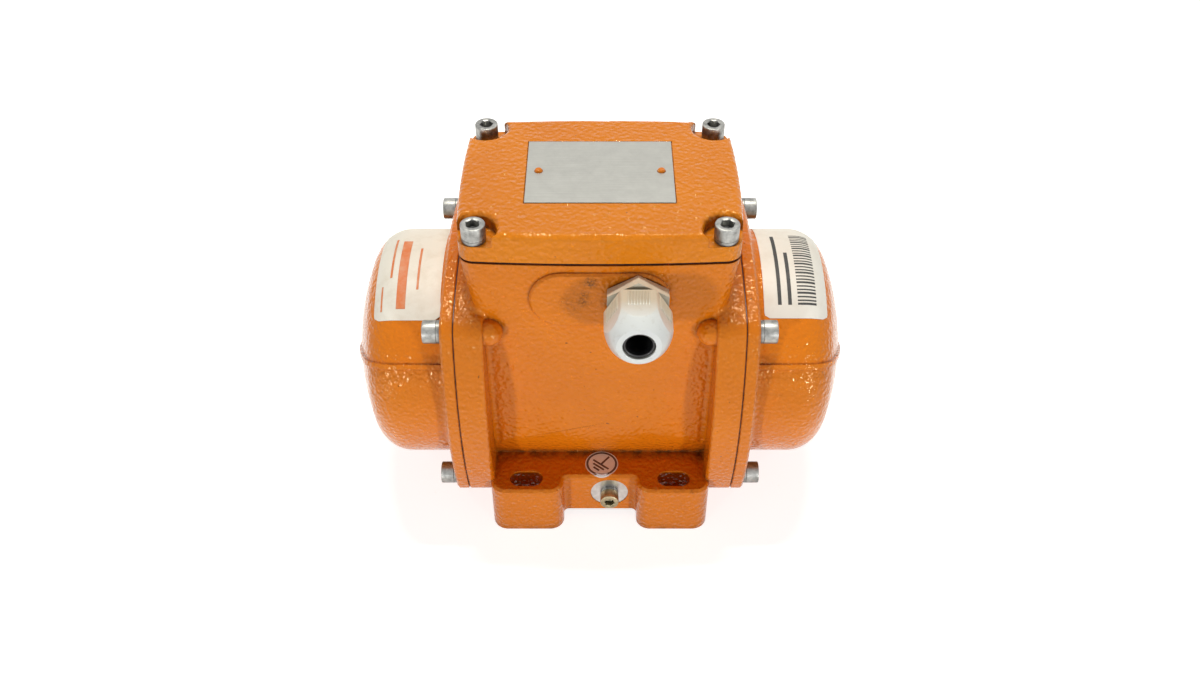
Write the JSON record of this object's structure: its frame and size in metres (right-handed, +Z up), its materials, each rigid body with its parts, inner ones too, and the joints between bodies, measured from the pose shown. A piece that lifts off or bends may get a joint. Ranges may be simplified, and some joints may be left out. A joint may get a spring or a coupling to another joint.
{
  "type": "vibration motor",
  "caption": "Foot-mounted unbalanced vibration motor with domed weight covers, square end flanges, a terminal box on top and a grey cable gland.",
  "frame": {"origin": "centre of the four foot slots on the mounting plane", "axes": "+X along the shaft, +Z up from the mounting plane, -Y the side with the cable entries"},
  "size_m": [0.2228, 0.1338, 0.1606],
  "materials": {
    "orange_paint": "glossy hammered orange enamel on cast metal",
    "zinc_screws": "dull zinc-plated screws and lock washers",
    "plate_aluminium": "brushed aluminium",
    "gland_nylon": "light grey nylon",
    "black_rubber": "black rubber",
    "yellow_zinc": "yellow zinc-plated ground screw",
    "core_steel": "steel laminations",
    "copper": "varnished copper winding",
    "rotor_aluminium": "cast aluminium end rings",
    "shaft_steel": "ground steel",
    "weight_steel": "flame-cut steel",
    "shield_iron": "machined grey iron",
    "bearing_steel": "ground bearing steel",
    "board_plastic": "dark moulding compound",
    "terminal_brass": "plain brass"
  },
  "bodies": {
    "stator": {"housing": "orange_paint", "lid_gasket": "black_rubber", "terminal_lid": "orange_paint", "lid_washers": "zinc_screws", "lid_screws": "zinc_screws", "lid_plate": "plate_aluminium", "plate_rivets": "orange_paint", "gland_gasket": "black_rubber", "gland_body": "gland_nylon", "gland_nut": "gland_nylon", "gland_seal": "black_rubber", "ground_washer": "zinc_screws", "ground_screw": "yellow_zinc", "stator_core": "core_steel", "stator_windings": "copper", "terminal_board": "board_plastic", "terminal_studs": "terminal_brass", "board_screws": "zinc_screws", "left_cover_gasket": "black_rubber", "left_cover": "orange_paint", "left_cover_washers": "zinc_screws", "left_cover_screws": "zinc_screws", "left_bearing_shield": "shield_iron", "left_bearing_circlip": "shaft_steel", "left_bearing_outer_ring": "bearing_steel", "right_cover_gasket": "black_rubber", "right_cover": "orange_paint", "right_cover_washers": "zinc_screws", "right_cover_screws": "zinc_screws", "right_bearing_shield": "shield_iron", "right_bearing_circlip": "shaft_steel", "right_bearing_outer_ring": "bearing_steel"},
    "rotor": {"shaft": "shaft_steel", "rotor_core": "core_steel", "rotor_end_rings": "rotor_aluminium", "left_bearing_inner_ring": "bearing_steel", "left_weight_spacer": "shaft_steel", "left_fixed_weight": "weight_steel", "left_fixed_weight_screw": "zinc_screws", "left_weight_key": "shaft_steel", "left_end_washer": "shaft_steel", "left_end_circlip": "shaft_steel", "right_bearing_inner_ring": "bearing_steel", "right_weight_spacer": "shaft_steel", "right_fixed_weight": "weight_steel", "right_fixed_weight_screw": "zinc_screws", "right_weight_key": "shaft_steel", "right_end_washer": "shaft_steel", "right_end_circlip": "shaft_steel"},
    "left_adjustable": {"left_adjustable_weight": "weight_steel", "left_adjustable_weight_screw": "zinc_screws"},
    "right_adjustable": {"right_adjustable_weight": "weight_steel", "right_adjustable_weight_screw": "zinc_screws"}
  },
  "joints": [
    {"name": "rotor_spin", "type": "hinge", "parent": "stator", "child": "rotor", "pos_m": [0, 0, 0.0657], "axis": [1, 0, 0], "continuous": true},
    {"name": "left_weight_adjust", "type": "hinge", "parent": "rotor", "child": "left_adjustable", "pos_m": [-0.0847, 0, 0.0657], "axis": [1, 0, 0], "range_deg": [0, 180]},
    {"name": "right_weight_adjust", "type": "hinge", "parent": "rotor", "child": "right_adjustable", "pos_m": [0.0847, 0, 0.0657], "axis": [1, 0, 0], "range_deg": [0, 180]}
  ]
}
